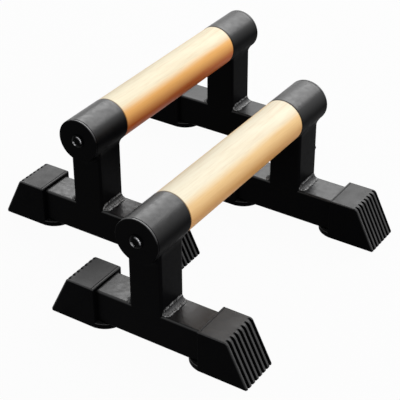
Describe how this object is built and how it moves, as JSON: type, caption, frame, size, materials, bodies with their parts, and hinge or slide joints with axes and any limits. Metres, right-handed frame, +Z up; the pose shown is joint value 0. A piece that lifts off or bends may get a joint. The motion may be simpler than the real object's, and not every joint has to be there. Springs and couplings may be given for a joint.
{
  "type": "parallette bars",
  "caption": "Pair of low parallette bars: each a round beech grip bolted between two welded black steel frames that stand on ribbed rubber feet.",
  "frame": {"origin": "on the floor, at the middle of the box round both bars as they stand at rest", "axes": "+Y along both grips towards their rear ends, +X from the left bar to the right bar, +Z up"},
  "size_m": [0.3622, 0.4206, 0.144],
  "materials": {
    "beech": "turned, sanded and oiled",
    "powder_coat": "fine matt powder coat",
    "weld_metal": "rippled weld bead under powder coat",
    "rubber": "moulded, matt",
    "blackened_bolt": "black oxide, slightly glossy",
    "zinc_insert": "zinc plated"
  },
  "bodies": {
    "right_bar": {"right_grip": "beech", "right_front_bolt": "blackened_bolt", "right_front_insert": "zinc_insert", "right_front_disc": "powder_coat", "right_front_collar": "powder_coat", "right_front_blend": "powder_coat", "right_front_upright": "powder_coat", "right_front_weld": "weld_metal", "right_front_base": "powder_coat", "right_front_foot_left": "rubber", "right_front_foot_right": "rubber", "right_rear_bolt": "blackened_bolt", "right_rear_insert": "zinc_insert", "right_rear_disc": "powder_coat", "right_rear_collar": "powder_coat", "right_rear_blend": "powder_coat", "right_rear_upright": "powder_coat", "right_rear_weld": "weld_metal", "right_rear_base": "powder_coat", "right_rear_foot_left": "rubber", "right_rear_foot_right": "rubber"},
    "left_bar": {"left_grip": "beech", "left_front_bolt": "blackened_bolt", "left_front_insert": "zinc_insert", "left_front_disc": "powder_coat", "left_front_collar": "powder_coat", "left_front_blend": "powder_coat", "left_front_upright": "powder_coat", "left_front_weld": "weld_metal", "left_front_base": "powder_coat", "left_front_foot_left": "rubber", "left_front_foot_right": "rubber", "left_rear_bolt": "blackened_bolt", "left_rear_insert": "zinc_insert", "left_rear_disc": "powder_coat", "left_rear_collar": "powder_coat", "left_rear_blend": "powder_coat", "left_rear_upright": "powder_coat", "left_rear_weld": "weld_metal", "left_rear_base": "powder_coat", "left_rear_foot_left": "rubber", "left_rear_foot_right": "rubber"}
  },
  "joints": [
    {"name": "bar_spacing", "type": "slide", "parent": "right_bar", "child": "left_bar", "axis": [1, 0, 0], "range_m": [-0.45, 0.09]}
  ]
}
